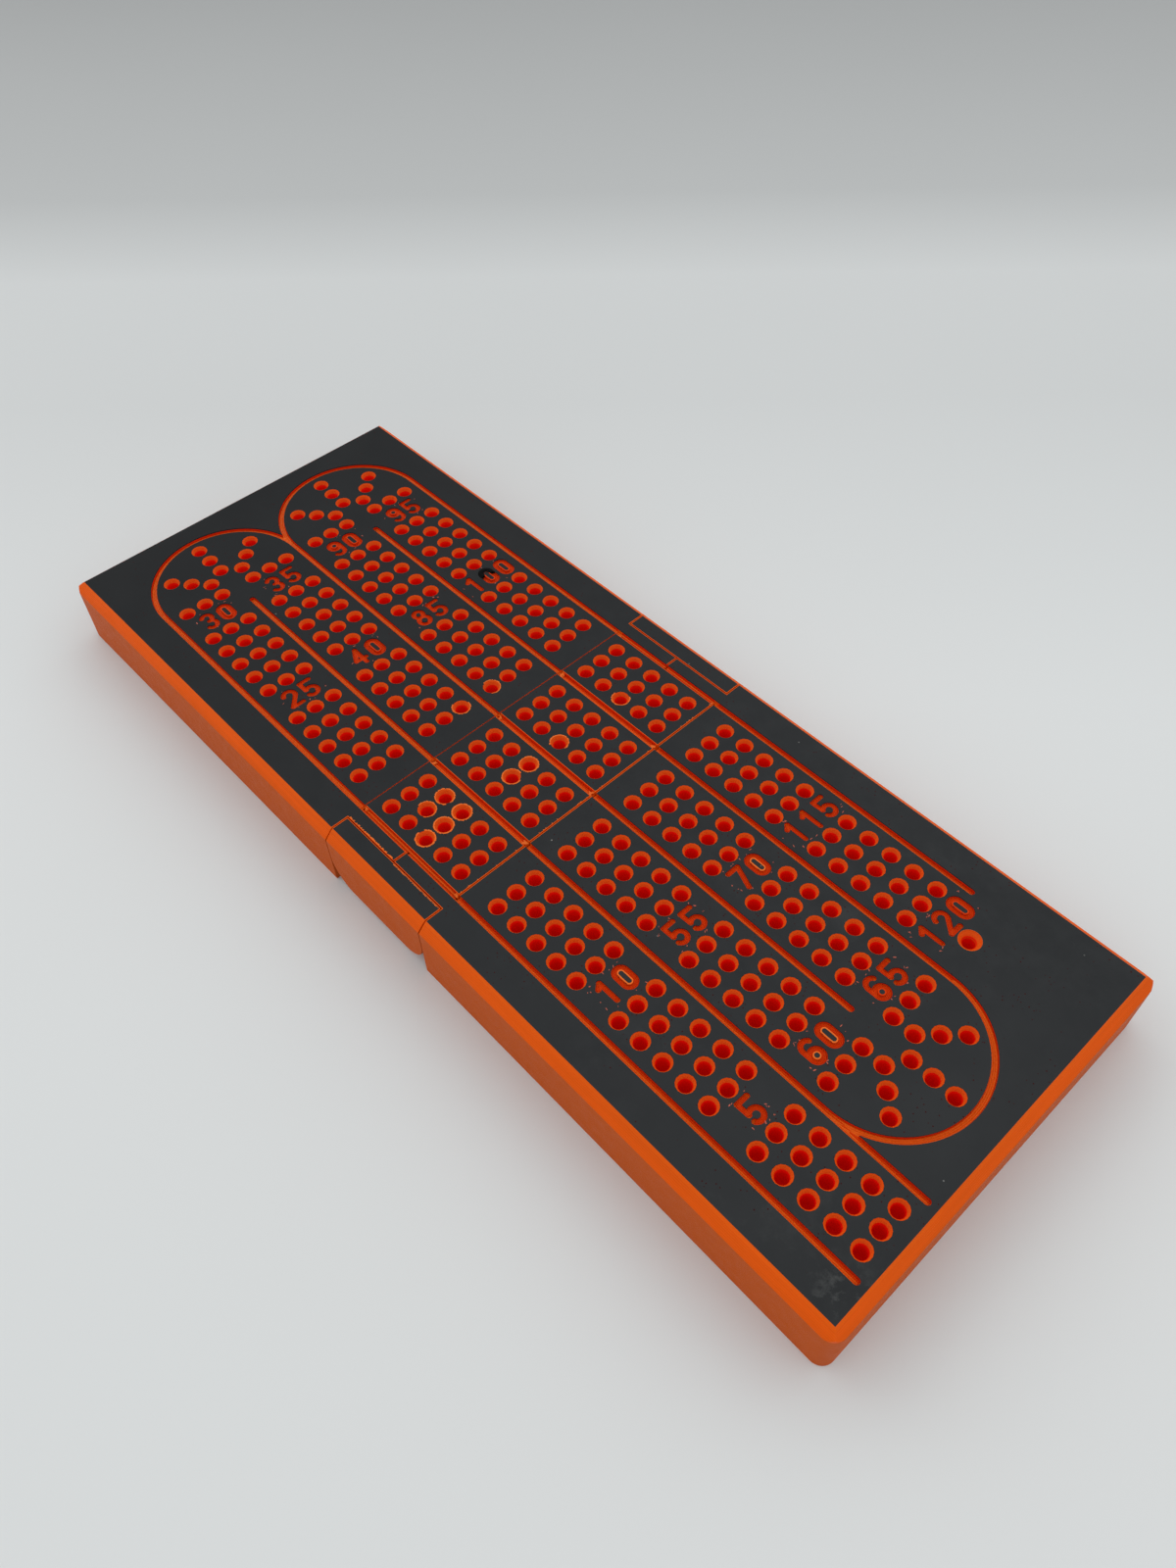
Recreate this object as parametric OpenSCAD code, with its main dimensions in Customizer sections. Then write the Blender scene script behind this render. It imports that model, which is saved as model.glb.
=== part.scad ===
// Folding cribbage board: two hollow halves turn about a middle spine block, so that they fold
// underside to underside into a case with the playing faces outside.
// +X runs along the board to the end that holds the start rows, +Y across it, +Z up.
// The origin is on the table, under the middle of the board. All lengths are millimetres.

/* [Peg track] */
// Distance from one row of peg holes to the next
row_pitch = 6; // [5.8:0.05:6.3]
// Distance between the three tracks of a lane
track_pitch = 5.13; // [4.9:0.01:5.4]
// Distance between the centres of neighbouring lanes
lane_pitch = 19.58; // [19.2:0.02:20.4]
// Width of a peg hole at the face
peg_d = 4.1; // [3.4:0.1:4.3]
// Width of a peg hole below its tapered mouth
peg_tip_d = 2.8; // [2.2:0.1:3]
// Depth of the tapered mouth, below the dark layer
peg_taper = 1.4; // [0.8:0.1:2]
// Depth of a peg hole
peg_depth = 6.5; // [5:0.1:6.8]
// Distance from a fan's row to the first of its three middle holes
fan_nose = 8; // [7.6:0.1:8.6]
// Width of the countersink on the last hole
finish_d = 4.8; // [4.5:0.1:5.2]
// Depth of the countersink on the last hole, below the dark layer
finish_sink = 1; // [0.4:0.1:1.4]

/* [Grooves] */
// Width of the grooves between the lanes
groove_w = 1.5; // [1:0.1:1.8]
// Depth of the grooves
groove_depth = 1; // [0.6:0.1:2]
// Distance from a fan's row to the centre of the groove that rounds it
arc_set = 3; // [2:0.1:4]
// Face left between the end of a long groove and the chamfer
groove_margin = 1.55; // [1:0.05:3]

/* [Numbers] */
// Height of a digit, over its stroke
digit_h = 6.4; // [5.6:0.1:6.8]
// Width of a digit, over its stroke
digit_w = 4.1; // [3.6:0.1:4.4]
// Width of a digit's stroke
digit_stroke = 1.25; // [0.9:0.05:1.4]
// Distance from one digit to the next
digit_pitch = 4.95; // [4.5:0.05:5.2]
// Depth of the digits
digit_depth = 0.7; // [0.4:0.1:1.2]

/* [Board] */
// Thickness of the open board
board_t = 17.6; // [17:0.1:18.6]
// Face from a fan's row to the chamfer at each end
end_margin = 28.85; // [27:0.05:34]
// Face from an outer groove to the chamfer on each side
side_margin = 8.29; // [7.6:0.01:12]
// Width of the chamfer round the top
chamfer_w = 2.25; // [1:0.05:3]
// Height of the chamfer round the top
chamfer_h = 2.5; // [1:0.1:4]
// Radius of the four upright corners
corner_r = 3; // [1:0.5:5]
// Thickness of the dark layer on the playing face
face_t = 0.3; // [0.2:0.05:0.5]
// Bright rim between the dark layer and a seam
rim_w = 0.12; // [0.08:0.02:0.4]

/* [Fold] */
// Gap at every seam between two pieces
seam_gap = 0.3; // [0.2:0.05:0.5]
// Gap between the two undersides when the board is folded
fold_gap = 0.3; // [0.2:0.05:0.6]
// Height of the spine's underside above the table
belly_gap = 1.6; // [1:0.1:2.4]
// Width of the strip that each hinge arm fills
arm_w = 4.09; // [3.6:0.01:5]
// Diameter of a hinge pin
pin_d = 3; // [2:0.1:3.4]
// Length of a hinge pin
pin_l = 20; // [14:0.5:24]
// Radial clearance of a hinge pin in its arm
pin_run = 0.08; // [0.05:0.01:0.1]
// Wall outside the end of a hinge pin
pin_cover = 1.3; // [0.8:0.1:2]

/* [Tray] */
// Thickness of the walls round each half
wall = 3.2; // [2:0.1:4]
// Floor left under the peg holes
deck_floor = 1.5; // [1:0.1:2.4]
// Length of the bay for a deck of cards laid across the board
card_bay_l = 66.5; // [64:0.5:76]
// Thickness of the rib between the card bay and the peg bay
rib_t = 2.4; // [1.6:0.1:3]
// Diameter of a closing magnet
magnet_d = 6; // [4:0.5:8]
// Thickness of a closing magnet
magnet_h = 3; // [2:0.5:4]
// Distance from the outer faces to a magnet's centre
magnet_inset = 6; // [5.5:0.1:7]
// Clearance round a magnet
magnet_clear = 0.05; // [0.02:0.01:0.1]
// Wall of the corner post between a magnet and the peg bay
post_wall = 1.2; // [0.8:0.1:2]

/* [Hidden] */
$fn = 48;
orange = [0.85, 0.35, 0.05];
charcoal = [0.18, 0.19, 0.19];
steel = [0.7, 0.71, 0.73];
// How far every cut runs past the surface it opens
overrun = 1;

// Counts of the track: four lanes, and a row slot every pitch, counted from the middle.
// Every sixth slot from slot 3 is blank or holds a number.
lanes = 4;
fan_slot = 16;
label_slots = [9, 15];
half_slots = [each [4:8], each [10:14]];
spine_slots = [-2:2];
start_slots = [16:20];
rows_per_label = 5;
slots_per_label = 6;

// Outline of the board
lane_edge = lanes/2*lane_pitch;
face_x = fan_slot*row_pitch + end_margin;
face_y = lane_edge + side_margin;
board_x = face_x + chamfer_w;
board_y = face_y + chamfer_w;

// The pivots are half the thickness from the underside and from the folding plane, and the
// spine's lower corners are arcs about them.
pivot_z = board_t/2;
pivot_x = pivot_z + fold_gap/2;
spine_r = pivot_z - belly_gap;
spine_x = pivot_x + spine_r;
half_x = spine_x + seam_gap;
arm_tip = pivot_x - pivot_z;

// Places across the board, from the middle outwards
spine_y = lane_edge - seam_gap/2;
arm_in = lane_edge + seam_gap/2;
arm_out = lane_edge + arm_w - seam_gap/2;
link_in = arm_out + seam_gap;
pin_out = board_y - pin_cover;
pin_in = pin_out - pin_l;

// Insides of a half
deck_z = board_t - peg_depth - deck_floor;
bay_x0 = half_x + wall;
rib_x = bay_x0 + card_bay_l;
bay_x1 = board_x - wall;
bay_y = board_y - wall;
post = magnet_inset + magnet_d/2 + magnet_clear + post_wall;
magnet_x = board_x - magnet_inset;
magnet_y = board_y - magnet_inset;
magnet_z = 2*magnet_clear;

// Grooves and fans
arc_x = fan_slot*row_pitch + arc_set;
short_groove_x = max(label_slots)*row_pitch;
long_groove_x = face_x - groove_margin;
fan_step = track_pitch*cos(45);
fan_side = lane_pitch/2 - track_pitch;

// Centre lines of the digits
glyph_h = digit_h - digit_stroke;
glyph_w = digit_w - digit_stroke;
bowl_r = glyph_w/2;
bowl_y = glyph_h/2 - bowl_r;
// The round ends are a little wider than the strokes, so that no two edges only touch.
line_end_share = 1.02;
arc_end_share = 1.05;
// Angles at which the open bowls of the digits end, from the bowl's right-hand side
two_neck_angle = -38;
two_tip_angle = 165;
three_tip_angle = 150;
five_tip_angle = 150;
five_neck_angle = 140;
six_tip_angle = 35;

function lane_y(lane) = (lane - (lanes + 1)/2)*lane_pitch;

// Place across the board of the line after this many lanes
function line_y(count) = (count - lanes/2)*lane_pitch;

// The play runs to the far end in odd lanes and back in even ones.
function heading(lane) = lane%2 == 1 ? -1 : 1;

function rows(slots, lane) = [
    for (slot = slots, track = [-1:1]) [slot*row_pitch, lane_y(lane) + track*track_pitch]
];

// Nine holes that carry three tracks round an end, about the line between two lanes
function fan(mid_y, side) = [
    for (i = [0:2]) each [
        for (turn = [-1, 1])
            [side*(fan_slot*row_pitch + track_pitch + i*fan_step), mid_y + turn*(fan_side + i*fan_step)],
        [side*(fan_slot*row_pitch + fan_nose + i*track_pitch), mid_y]
    ]
];

far_slots = [-fan_slot, for (slot = half_slots) -slot];
far_pegs = concat(
    [for (lane = [1:lanes]) each rows(far_slots, lane)],
    fan(line_y(1), -1), fan(line_y(3), -1)
);
spine_pegs = [for (lane = [1:lanes]) each rows(spine_slots, lane)];
near_pegs = concat(
    [for (lane = [1:lanes]) each rows(half_slots, lane)],
    rows(start_slots, 1), rows([fan_slot], 2), rows([fan_slot], 3),
    fan(line_y(2), 1)
);
finish = [fan_slot*row_pitch, lane_y(lanes)];

// Points counted up to a number's place, as played along the lanes
function count_at(lane, slot) = rows_per_label*(slots_per_label*(lane - 1) + 1
    + (max(label_slots) + heading(lane)*slot)/slots_per_label);
function digits_of(n) = n < 10 ? [n] : [each digits_of(floor(n/10)), n%10];

// Whole board as one chamfered block, from which the halves and the links are cut
module board_block() {
    intersection() {
        linear_extrude(board_t) {
            square([2*(board_x - corner_r), 2*board_y], center = true);
            square([2*board_x, 2*(board_y - corner_r)], center = true);
            for (x = [-1, 1], y = [-1, 1])
                translate([x*(board_x - corner_r), y*(board_y - corner_r)]) circle(corner_r);
        }
        translate([0, board_y + overrun, 0]) rotate([90, 0, 0])
            linear_extrude(2*(board_y + overrun)) chamfered(board_x);
        translate([-board_x - overrun, 0, 0]) rotate([90, 0, 90])
            linear_extrude(2*(board_x + overrun)) chamfered(board_y);
    }
}

// Section of the board with its two chamfered top edges
module chamfered(reach) {
    polygon([
        [-reach, 0], [reach, 0], [reach, board_t - chamfer_h], [reach - chamfer_w, board_t],
        [chamfer_w - reach, board_t], [-reach, board_t - chamfer_h]
    ]);
}

// Box from corner a to corner b
module span(a, b) {
    translate(a) cube(b - a);
}

// Rectangle from corner a to corner b
module patch(a, b) {
    translate(a) square(b - a);
}

// Side view of a hinge arm: square at the top of its tip, round about the pivot below
module arm_profile() {
    patch([arm_tip, pivot_z], [half_x + wall, board_t]);
    patch([pivot_x, 0], [half_x + wall, board_t]);
    translate([pivot_x, pivot_z]) circle(pivot_z);
}

// Side view of the spine block and the links, with both lower corners round about the pivots
module spine_profile() {
    patch([-spine_x, pivot_z], [spine_x, board_t]);
    patch([-pivot_x, belly_gap], [pivot_x, board_t]);
    for (side = [-1, 1]) translate([side*pivot_x, pivot_z]) circle(spine_r);
}

// A side view stretched across the board from y0 to y1
module across(y0, y1) {
    translate([0, y1, 0]) rotate([90, 0, 0]) linear_extrude(y1 - y0) children();
}

// Pin hole or pin of diameter d, from y0 to y1 at one pivot
module pin_rod(x, y0, y1, d) {
    translate([x, y1, pivot_z]) rotate([90, 0, 0]) cylinder(d = d, h = y1 - y0);
}

// Copies a shape to the left and right sides of the board
module both_sides() {
    children();
    mirror([0, 1, 0]) children();
}

// Peg hole with a straight lower part and a mouth that tapers up to the dark layer
module peg_hole(spot, mouth_d, taper) {
    translate([spot.x, spot.y, 0]) {
        translate([0, 0, board_t - peg_depth]) cylinder(d = peg_tip_d, h = peg_depth);
        translate([0, 0, board_t - face_t - taper]) cylinder(d1 = peg_tip_d, d2 = mouth_d, h = taper);
        translate([0, 0, board_t - face_t]) cylinder(d = mouth_d, h = face_t + overrun);
    }
}

module peg_holes(spots) {
    for (spot = spots) peg_hole(spot, peg_d, peg_taper);
}

module finish_hole() {
    peg_hole(finish, finish_d, finish_sink);
}

// Straight groove between two places on one line, with round ends
module groove_line(y, x0, x1) {
    reach = groove_w/2;
    patch([x0 + reach, y - reach], [x1 - reach, y + reach]);
    for (x = [x0 + reach, x1 - reach]) translate([x, y]) circle(reach);
}

// Half ring that rounds an end of the track
module groove_arc(y, side) {
    translate([side*arc_x, y]) intersection() {
        difference() {
            circle(lane_pitch + groove_w/2);
            circle(lane_pitch - groove_w/2);
        }
        translate([side*lane_pitch, 0]) square([2*lane_pitch, 3*lane_pitch], center = true);
    }
}

module grooves() {
    reach = groove_w/2;
    translate([0, 0, board_t - groove_depth]) linear_extrude(groove_depth + overrun) {
        groove_line(line_y(0), -arc_x - reach, long_groove_x);
        groove_line(line_y(1), -short_groove_x, long_groove_x);
        groove_line(line_y(2), -arc_x - reach, short_groove_x);
        groove_line(line_y(3), -short_groove_x, arc_x + reach);
        groove_line(line_y(4), -arc_x - reach, short_groove_x);
        groove_arc(line_y(1), -1);
        groove_arc(line_y(3), -1);
        groove_arc(line_y(2), 1);
    }
}

// One straight stroke of a digit
module line_stroke(a, b) {
    run = b - a;
    translate(a) rotate(atan2(run.y, run.x)) {
        translate([0, -digit_stroke/2]) square([norm(run), digit_stroke]);
        for (x = [0, norm(run)]) translate([x, 0]) circle(d = line_end_share*digit_stroke);
    }
}

// One round stroke of a digit, from angle a0 up to angle a1
module arc_stroke(centre, r, a0, a1) {
    sweep = a1 - a0;
    far_r = 2*(r + digit_stroke);
    translate(centre) {
        intersection() {
            difference() {
                circle(r + digit_stroke/2);
                circle(r - digit_stroke/2);
            }
            polygon([[0, 0], for (i = [0:4]) far_r*[cos(a0 + i*sweep/4), sin(a0 + i*sweep/4)]]);
        }
        for (a = [a0, a1]) translate(r*[cos(a), sin(a)]) circle(d = arc_end_share*digit_stroke);
    }
}

module ring_stroke(centre, r) {
    translate(centre) difference() {
        circle(r + digit_stroke/2);
        circle(r - digit_stroke/2);
    }
}

module nought() {
    difference() {
        slot_outline(bowl_r + digit_stroke/2);
        slot_outline(bowl_r - digit_stroke/2);
    }
}

module slot_outline(r) {
    patch([-r, -bowl_y], [r, bowl_y]);
    for (side = [-1, 1]) translate([0, side*bowl_y]) circle(r);
}

module one() {
    stem_share = 0.1;
    flag_share = [-0.32, 0.3];
    top = [stem_share*glyph_w, glyph_h/2];
    line_stroke([top.x, -glyph_h/2], top);
    line_stroke([flag_share.x*glyph_w, flag_share.y*glyph_h], top);
}

module two() {
    arc_stroke([0, bowl_y], bowl_r, two_neck_angle, two_tip_angle);
    line_stroke([-bowl_r, -glyph_h/2], [bowl_r*cos(two_neck_angle), bowl_y + bowl_r*sin(two_neck_angle)]);
    line_stroke([-bowl_r, -glyph_h/2], [bowl_r, -glyph_h/2]);
}

module three() {
    r = glyph_h/4;
    arc_stroke([0, r], r, -90, three_tip_angle);
    arc_stroke([0, -r], r, -three_tip_angle, 90);
}

module four() {
    stem_share = 0.2;
    bar_share = -0.2;
    stem_x = stem_share*glyph_w;
    bar_y = bar_share*glyph_h;
    line_stroke([stem_x, -glyph_h/2], [stem_x, glyph_h/2]);
    line_stroke([-glyph_w/2, bar_y], [stem_x, glyph_h/2]);
    line_stroke([-glyph_w/2, bar_y], [glyph_w/2, bar_y]);
}

module five() {
    back_share = 0.42;
    back_x = -back_share*glyph_w;
    arc_stroke([0, -bowl_y], bowl_r, -five_tip_angle, five_neck_angle);
    line_stroke([bowl_r*cos(five_neck_angle), bowl_r*sin(five_neck_angle) - bowl_y], [back_x, glyph_h/2]);
    line_stroke([back_x, glyph_h/2], [glyph_w/2, glyph_h/2]);
}

module six() {
    ring_stroke([0, -bowl_y], bowl_r);
    line_stroke([-bowl_r, -bowl_y], [-bowl_r, bowl_y]);
    arc_stroke([0, bowl_y], bowl_r, six_tip_angle, 180);
}

module seven() {
    foot_share = -0.2;
    line_stroke([-glyph_w/2, glyph_h/2], [glyph_w/2, glyph_h/2]);
    line_stroke([foot_share*glyph_w, -glyph_h/2], [glyph_w/2, glyph_h/2]);
}

module eight() {
    top_share = 0.23;
    top_r = top_share*glyph_h;
    foot_r = glyph_h/2 - top_r;
    ring_stroke([0, glyph_h/2 - top_r], top_r);
    ring_stroke([0, foot_r - glyph_h/2], foot_r);
}

module digit(n) {
    if (n == 0) nought();
    if (n == 1) one();
    if (n == 2) two();
    if (n == 3) three();
    if (n == 4) four();
    if (n == 5) five();
    if (n == 6) six();
    if (n == 7) seven();
    if (n == 8) eight();
    if (n == 9) rotate(180) six();
}

// Numbers on one half, read from the near end of the board
module numbers(side) {
    for (lane = [1:lanes], slot = label_slots) {
        figures = digits_of(count_at(lane, side*slot));
        for (i = [0:len(figures) - 1])
            translate([side*slot*row_pitch, lane_y(lane) + (i - (len(figures) - 1)/2)*digit_pitch, 0])
                rotate(90) translate([0, 0, board_t - digit_depth])
                    linear_extrude(digit_depth + overrun) digit(figures[i]);
    }
}

// Outlines of the dark layer, laid out for the near half
module half_face_plan() {
    patch([half_x + rim_w, -face_y], [face_x, face_y]);
    for (side = [-1, 1])
        translate([(arm_tip + half_x)/2 + rim_w, side*(arm_in + arm_out - rim_w)/2])
            square([half_x - arm_tip, arm_out - rim_w - arm_in], center = true);
}

module spine_face_plan() {
    cell = [2*(spine_x - rim_w), lane_pitch - groove_w - 2*rim_w];
    for (lane = [1:lanes]) translate([0, lane_y(lane)]) square(cell, center = true);
}

module link_face_plan() {
    patch([rim_w - spine_x, link_in + rim_w], [spine_x - rim_w, face_y]);
}

// Dark layer, or the seat that it fills when it has an overrun
module layer(extra = 0) {
    translate([0, 0, board_t - face_t]) linear_extrude(face_t + extra) children();
}

// One half without its track, laid out for the near end
module half_shell() {
    difference() {
        union() {
            intersection() {
                board_block();
                span([half_x, -board_y - overrun, -overrun],
                     [board_x + overrun, board_y + overrun, board_t + overrun]);
            }
            both_sides() across(arm_in, arm_out) arm_profile();
        }
        span([bay_x0, -bay_y, -overrun], [rib_x, bay_y, deck_z]);
        difference() {
            span([rib_x + rib_t, -bay_y, -overrun], [bay_x1, bay_y, deck_z]);
            both_sides() span([board_x - post, board_y - post, -2*overrun], [board_x, board_y, board_t]);
        }
        both_sides() {
            pin_rod(pivot_x, arm_in - overrun, arm_out + overrun, pin_d + 2*pin_run);
            translate([magnet_x, magnet_y, -overrun])
                cylinder(d = magnet_d + 2*magnet_clear, h = overrun + magnet_z + magnet_h + magnet_clear);
        }
        layer(overrun) half_face_plan();
    }
}

module far_tray() {
    color(orange) difference() {
        mirror([1, 0, 0]) half_shell();
        grooves();
        peg_holes(far_pegs);
        numbers(-1);
    }
}

module near_tray() {
    color(orange) difference() {
        half_shell();
        grooves();
        peg_holes(near_pegs);
        finish_hole();
        numbers(1);
    }
}

module far_face() {
    color(charcoal) difference() {
        layer() mirror([1, 0, 0]) half_face_plan();
        grooves();
        peg_holes(far_pegs);
        numbers(-1);
    }
}

module near_face() {
    color(charcoal) difference() {
        layer() half_face_plan();
        grooves();
        peg_holes(near_pegs);
        finish_hole();
        numbers(1);
    }
}

module spine_block() {
    color(orange) difference() {
        across(-spine_y, spine_y) spine_profile();
        both_sides() for (side = [-1, 1]) pin_rod(side*pivot_x, pin_in, spine_y + overrun, pin_d);
        layer(overrun) spine_face_plan();
        grooves();
        peg_holes(spine_pegs);
    }
}

module spine_face() {
    color(charcoal) difference() {
        layer() spine_face_plan();
        peg_holes(spine_pegs);
    }
}

// Link on the right side: it carries the outer ends of two hinge pins
module link() {
    color(orange) difference() {
        intersection() {
            board_block();
            across(link_in, board_y) spine_profile();
        }
        for (side = [-1, 1]) pin_rod(side*pivot_x, link_in - overrun, pin_out, pin_d);
        layer(overrun) link_face_plan();
    }
}

module link_face() {
    color(charcoal) layer() link_face_plan();
}

module left_link() {
    mirror([0, 1, 0]) link();
}

module right_link() {
    link();
}

module left_link_face() {
    mirror([0, 1, 0]) link_face();
}

module right_link_face() {
    link_face();
}

// Hinge pin at the pivot on one side of the middle, on the right
module pin(side) {
    color(steel) pin_rod(side*pivot_x, pin_in, pin_out, pin_d);
}

module far_left_pin() {
    mirror([0, 1, 0]) pin(-1);
}

module far_right_pin() {
    pin(-1);
}

module near_left_pin() {
    mirror([0, 1, 0]) pin(1);
}

module near_right_pin() {
    pin(1);
}

// Closing magnet in a corner post, given as the signs of its corner
module magnet(corner) {
    color(steel) translate([corner.x*magnet_x, corner.y*magnet_y, magnet_z])
        cylinder(d = magnet_d, h = magnet_h);
}

module far_left_magnet() {
    magnet([-1, -1]);
}

module far_right_magnet() {
    magnet([-1, 1]);
}

module near_left_magnet() {
    magnet([1, -1]);
}

module near_right_magnet() {
    magnet([1, 1]);
}

far_tray();
far_face();
near_tray();
near_face();
spine_block();
spine_face();
left_link();
left_link_face();
right_link();
right_link_face();
far_left_pin();
far_right_pin();
near_left_pin();
near_right_pin();
far_left_magnet();
far_right_magnet();
near_left_magnet();
near_right_magnet();
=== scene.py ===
"""Folding cribbage board: the looks of a two-colour printed board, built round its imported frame.

+X runs along the board to the end with the start rows, +Y across it and +Z up. The table is at
z = 0, under the middle of the board. Lengths are metres, and the named sizes are millimetres.
"""

import math
import random

import bpy
import bmesh
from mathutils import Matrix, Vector


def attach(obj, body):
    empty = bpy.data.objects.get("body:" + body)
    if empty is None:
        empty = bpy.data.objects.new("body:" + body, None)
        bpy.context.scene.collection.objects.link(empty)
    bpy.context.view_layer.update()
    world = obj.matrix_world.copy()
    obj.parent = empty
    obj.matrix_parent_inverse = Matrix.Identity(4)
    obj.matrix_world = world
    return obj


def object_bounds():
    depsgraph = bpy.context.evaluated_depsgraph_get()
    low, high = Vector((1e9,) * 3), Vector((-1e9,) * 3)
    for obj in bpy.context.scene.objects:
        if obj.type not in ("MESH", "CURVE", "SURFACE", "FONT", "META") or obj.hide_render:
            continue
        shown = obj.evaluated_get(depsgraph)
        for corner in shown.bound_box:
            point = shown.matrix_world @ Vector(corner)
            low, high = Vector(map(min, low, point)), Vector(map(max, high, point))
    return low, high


bl_info = {
    "name": "Folding Cribbage Board",
    "version": (1, 0, 0),
    "blender": (4, 5, 0),
    "location": "3D View > Sidebar > Cribbage Board",
    "description": "Dresses a folding cribbage board with its printed finish, and sets its stage",
    "category": "Object",
}

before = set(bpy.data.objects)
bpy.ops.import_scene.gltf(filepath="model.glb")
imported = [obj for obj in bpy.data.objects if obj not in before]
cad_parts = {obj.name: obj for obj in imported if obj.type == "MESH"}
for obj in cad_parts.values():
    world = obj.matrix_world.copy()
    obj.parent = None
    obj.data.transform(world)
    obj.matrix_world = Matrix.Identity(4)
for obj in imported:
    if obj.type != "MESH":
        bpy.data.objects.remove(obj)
cad_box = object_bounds()

MM = 0.001
BOARD_TOP = cad_box[1].z / MM
BOARD_X = cad_box[1].x / MM
BOARD_Y = cad_box[1].y / MM
HALVES = {"far_half": -1, "near_half": 1}

ORANGE_NODES = ("far_tray", "near_tray", "spine_block", "left_link", "right_link")
DARK_NODES = ("far_face", "near_face", "spine_face", "left_link_face", "right_link_face")

LANES = (1, 2, 3, 4)
FAN_SLOT = 16
HALF_SLOTS = (4, 5, 6, 7, 8, 10, 11, 12, 13, 14)

# Holes whose lips are torn: lane, slot, track, width of the lip, and where the lip is missing
RAGGED_RIMS = {
    "spine": (
        (1, 0, -1, 0.30, 150, 175), (1, 0, 0, 0.30, 0, 0), (1, 0, 1, 0.32, 0, 0),
        (1, -1, 0, 0.22, 200, 300), (1, -1, 1, 0.26, 330, 350), (2, 0, 0, 0.26, 20, 70),
        (2, 0, 1, 0.30, 0, 0), (3, 0, -1, 0.26, 250, 350), (4, 0, -1, 0.22, 60, 170),
    ),
    "far_half": ((2, -4, 1, 0.24, 90, 200), (3, -4, -1, 0.22, 200, 320)),
}

# Numbers beside the tracks: lane, slot and figures
NUMBERS = (
    (1, 15, "5"), (1, 9, "10"), (1, -9, "25"), (1, -15, "30"),
    (2, -15, "35"), (2, -9, "40"), (2, 9, "55"), (2, 15, "60"),
    (3, 15, "65"), (3, 9, "70"), (3, -9, "85"), (3, -15, "90"),
    (4, -15, "95"), (4, -9, "100"), (4, 9, "115"), (4, 15, "120"),
)

# Numbers whose noughts and sixes have bright torn lips
BRIGHT_NUMBERS = ("10", "60", "70")

# Rows of the start tracks, and the place of the nought that dark plastic ran into
START_SLOTS = range(16, 21)
FILLED_LANE = 4
FILLED_SLOT = -9

# Where the board's edge turns from wall to chamfer, and the reach of the skin round it
CHAMFER_X = 2.25
CHAMFER_Z = 2.5
SKIN_BASE = 0.1
SKIN_ROOM = 0.012
SKIN_INSIDE = 2.4
SKIN_CORNER = 3.0
STAIRS = 7

# Where the seams run and end, and the edges of the left arm and the left link
SEAM_X = 16.47
SEAM_MIDDLE = 16.31
SEAM_REACH = 0.7
LINK_X = 16.13
SPINE_END = 38.8
LAST_BIT = 38.6
ARM_EDGE = -42.98
LINK_EDGE = -43.60

# Thickness of torn lips and edges
LIP_THICKNESS = 0.05

# The round lower corners of a link
LINK_RADIUS = 7.18
LINK_PIVOT = 8.95

# Ends of the grooves, the middle of their round ends, and the strands on their floors
LINE_END = 99.75
FAR_LINE_END = 90.0
START_LINE_END = 123.3
ARC_X = 99.0
STRAND_STEP = 0.46
STRAND_ROOM = 0.35
STRAND_DEPTH = 0.96
STRAND_WIDTH = 0.235
ARM_START = 0.3
ARM_LENGTH = 15.6

# Bands, in millimetres, over which the print's relief and tone turn, its painted shade and glow among them
ROOF_BAND = (9.8, 10.2)
HOLE_FLOOR_BAND = (10.2, 10.8)
OUTER_WALL_BAND = (15.0, 15.4)
INNER_WALL_BAND = (16.0, 16.4)
FACE_BAND = (17.5, 17.55)
SEAM_BAND = (0.33, 0.35)
RED_FADE = 0.3
EDGE_ROOM = 3.4


# Sizes and colours that a user would change


def size_value(name, description, default):
    return bpy.props.FloatProperty(name=name, description=description, default=default)


def colour_value(name, description, default):
    return bpy.props.FloatVectorProperty(
        name=name, description=description, subtype="COLOR", default=default)


class BoardTrack(bpy.types.PropertyGroup):
    """Places of the peg holes, in millimetres"""

    row_pitch: size_value("Row Pitch", "Distance from one row of holes to the next", 6.0)
    track_pitch: size_value("Track Pitch", "Distance between the tracks of a lane", 5.13)
    lane_pitch: size_value("Lane Pitch", "Distance between the lanes", 19.58)
    hole_radius: size_value("Hole Radius", "Radius of a peg hole", 2.05)
    fan_nose: size_value("Fan Nose", "From a fan's row to its first middle hole", 8.0)


class BoardNumbers(bpy.types.PropertyGroup):
    """Shape of the figures, in millimetres"""

    height: size_value("Height", "Height of a figure's centre line", 5.15)
    width: size_value("Width", "Width of a figure's centre line", 2.85)
    stroke: size_value("Stroke", "Width of a figure's stroke", 1.25)
    pitch: size_value("Pitch", "Distance from one figure to the next", 4.95)
    depth: size_value("Depth", "Depth of the figures", 0.7)


class BoardPrint(bpy.types.PropertyGroup):
    """How the print was laid, in millimetres"""

    layer_height: size_value("Layer Height", "Height of one printed layer", 0.3125)
    line_width: size_value("Line Width", "Width of one printed line", 0.45)
    bead: size_value("Bead", "How far each layer bulges past its neighbours", 0.045)


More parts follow.
